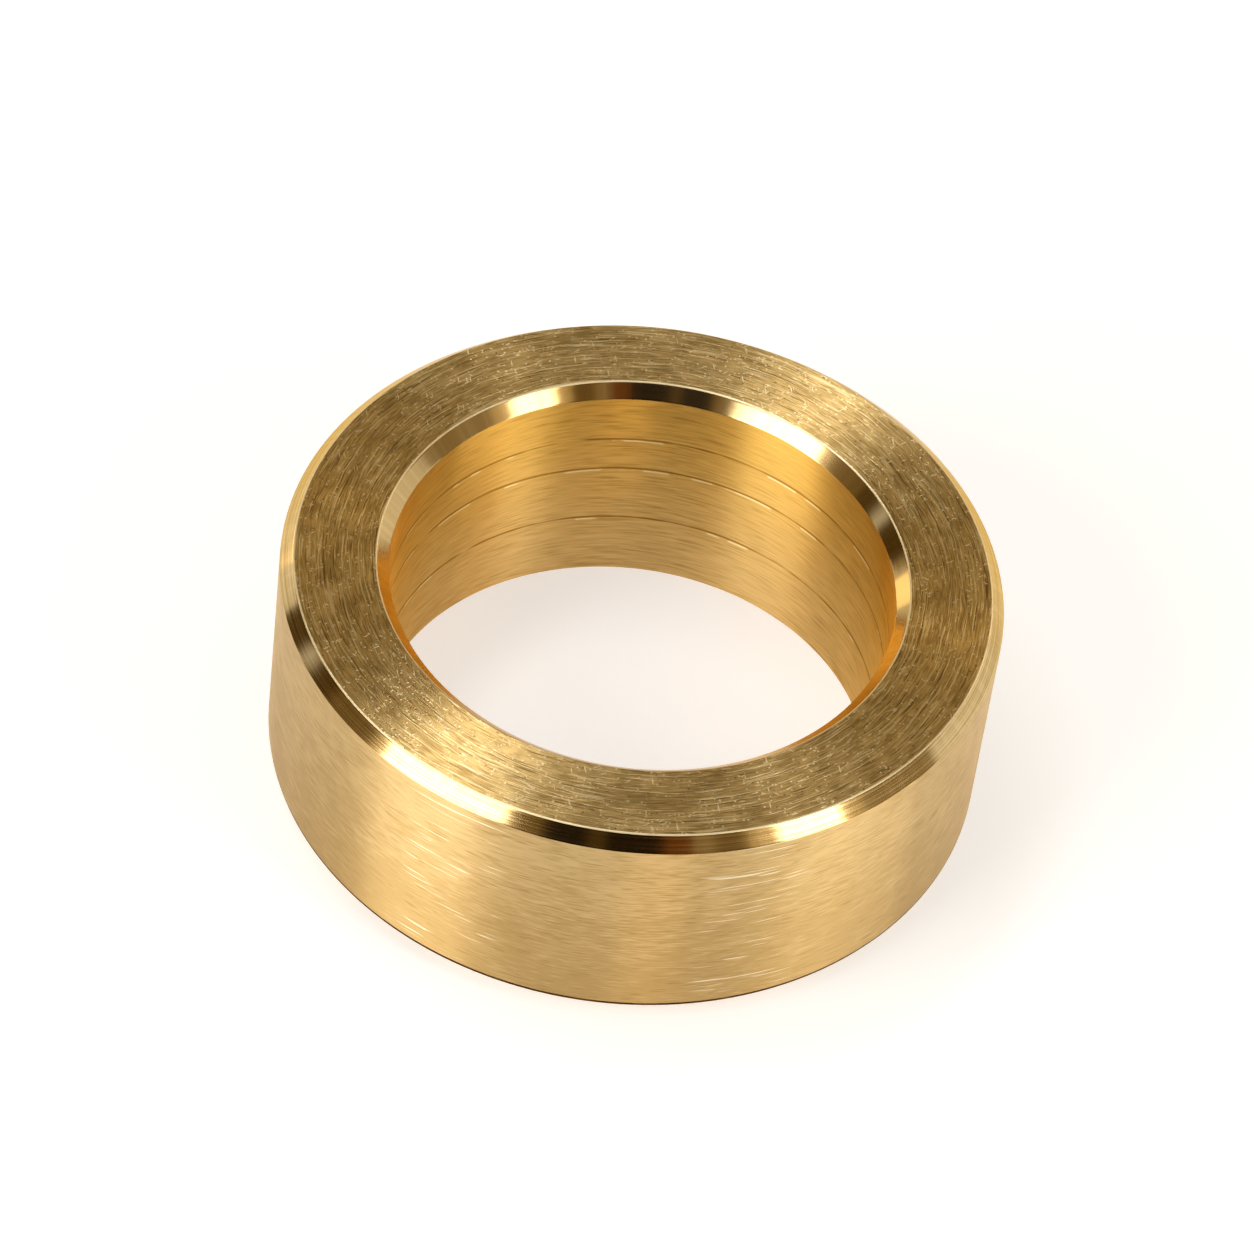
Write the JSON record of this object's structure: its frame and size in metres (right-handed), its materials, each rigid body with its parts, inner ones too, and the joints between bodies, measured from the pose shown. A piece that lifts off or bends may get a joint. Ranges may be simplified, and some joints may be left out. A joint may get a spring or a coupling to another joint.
{
  "type": "turned ring",
  "caption": "Short thick-walled brass ring, turned and bored, with flat ends and chamfered edges, for spacing or lining a shaft.",
  "frame": {"origin": "centre of the lower face, on the ring's axis", "axes": "+Z along the axis, from the lower face to the upper face with the chamfered bore; the ring is round, so X and Y may turn"},
  "size_m": [0.04, 0.04, 0.0145],
  "materials": {
    "brass": "bare brass, as turned: dull streaked end face, satin outside and bore with fine turning lines, bright chamfers"
  },
  "bodies": {
    "root": {"turned_ring": "brass"}
  },
  "joints": []
}
